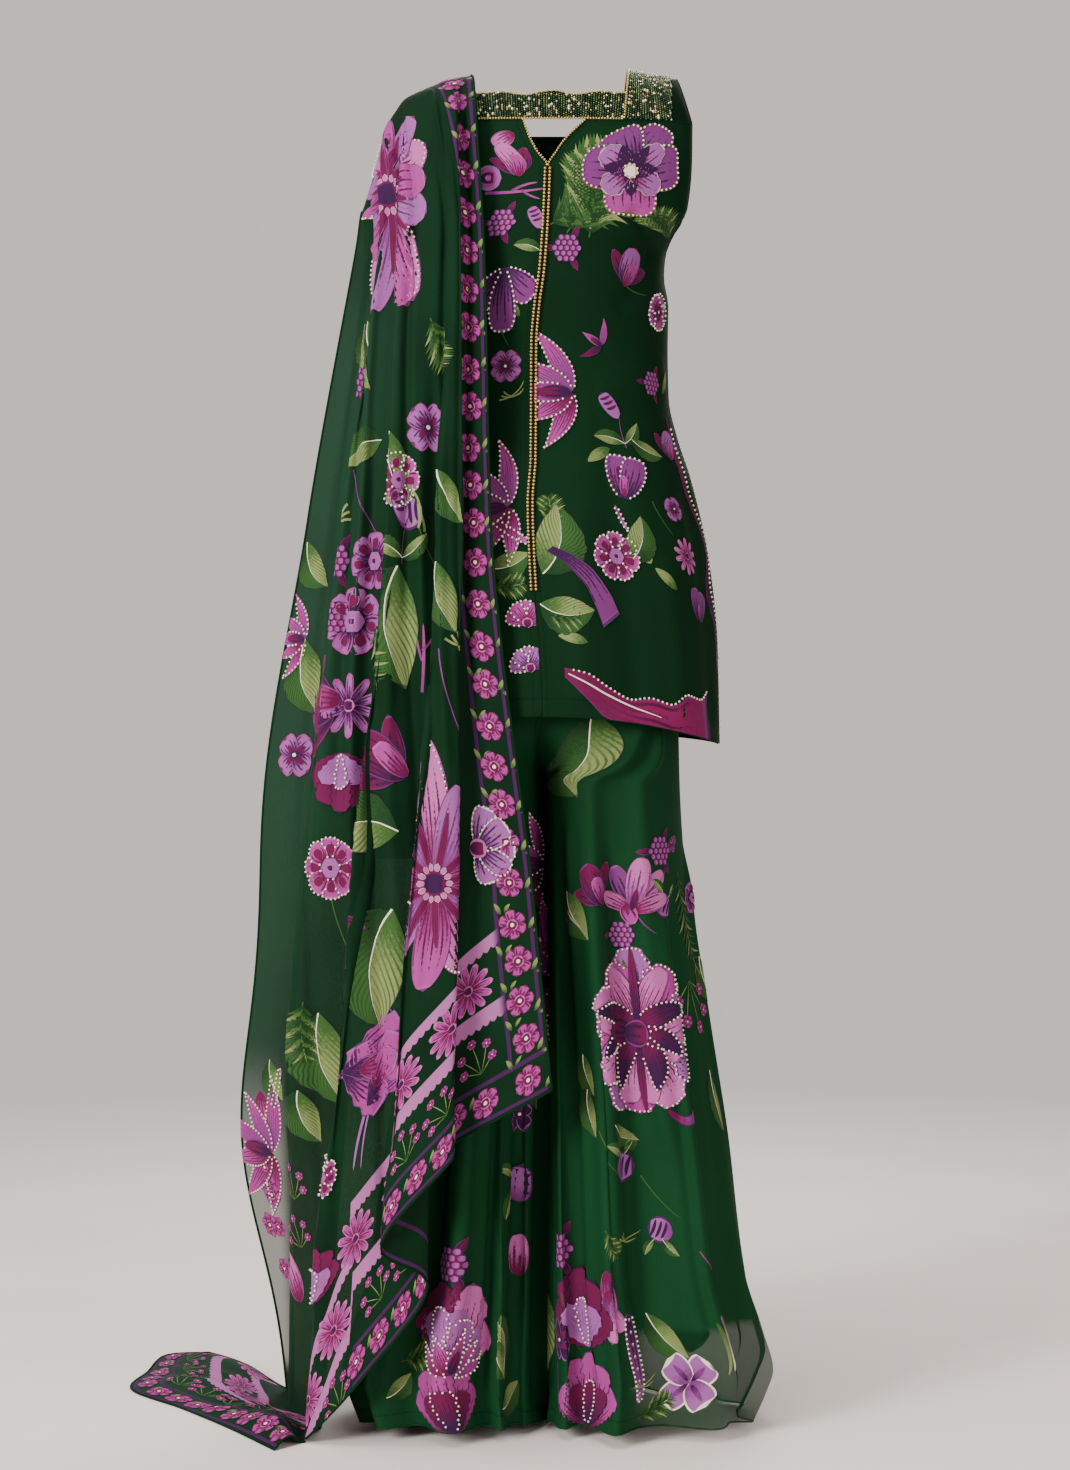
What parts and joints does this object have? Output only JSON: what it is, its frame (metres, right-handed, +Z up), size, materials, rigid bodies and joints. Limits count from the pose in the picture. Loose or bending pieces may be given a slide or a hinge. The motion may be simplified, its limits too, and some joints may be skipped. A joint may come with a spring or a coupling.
{
  "type": "sharara suit",
  "caption": "Sleeveless knee-clear kurta with an open front and side slits, wide floor-length sharara trousers and a long sheer dupatta over one shoulder.",
  "frame": {"origin": "midpoint between the shoulders at the height of the shoulder line, where the wearer holds the kurta up", "axes": "+Z up along the height, +X to the wearer's left, -Y out of the front"},
  "size_m": [0.702, 0.5215, 1.4557],
  "materials": {
    "green_georgette": "matte printed georgette",
    "green_trouser_georgette": "matte printed georgette",
    "sheer_green_chiffon": "sheer chiffon",
    "green_lining": "plain opaque crepe",
    "gold_beading": "gold thread and beads",
    "beaded_yoke": "green and gold beadwork"
  },
  "bodies": {
    "root": {"kurta_front_left": "green_georgette", "kurta_front_right": "green_georgette", "kurta_back": "green_georgette", "shoulder_left": "beaded_yoke", "shoulder_right": "green_georgette", "neck_band": "beaded_yoke", "placket_band": "gold_beading", "waistband_front": "green_trouser_georgette", "waistband_back": "green_trouser_georgette", "sharara_left_front": "green_trouser_georgette", "sharara_left_back": "green_trouser_georgette", "sharara_right_front": "green_trouser_georgette", "sharara_right_back": "green_trouser_georgette", "left_lining": "green_lining", "dupatta_front_fall": "sheer_green_chiffon", "dupatta_back_fall": "sheer_green_chiffon", "dupatta_floor": "sheer_green_chiffon"}
  },
  "joints": []
}
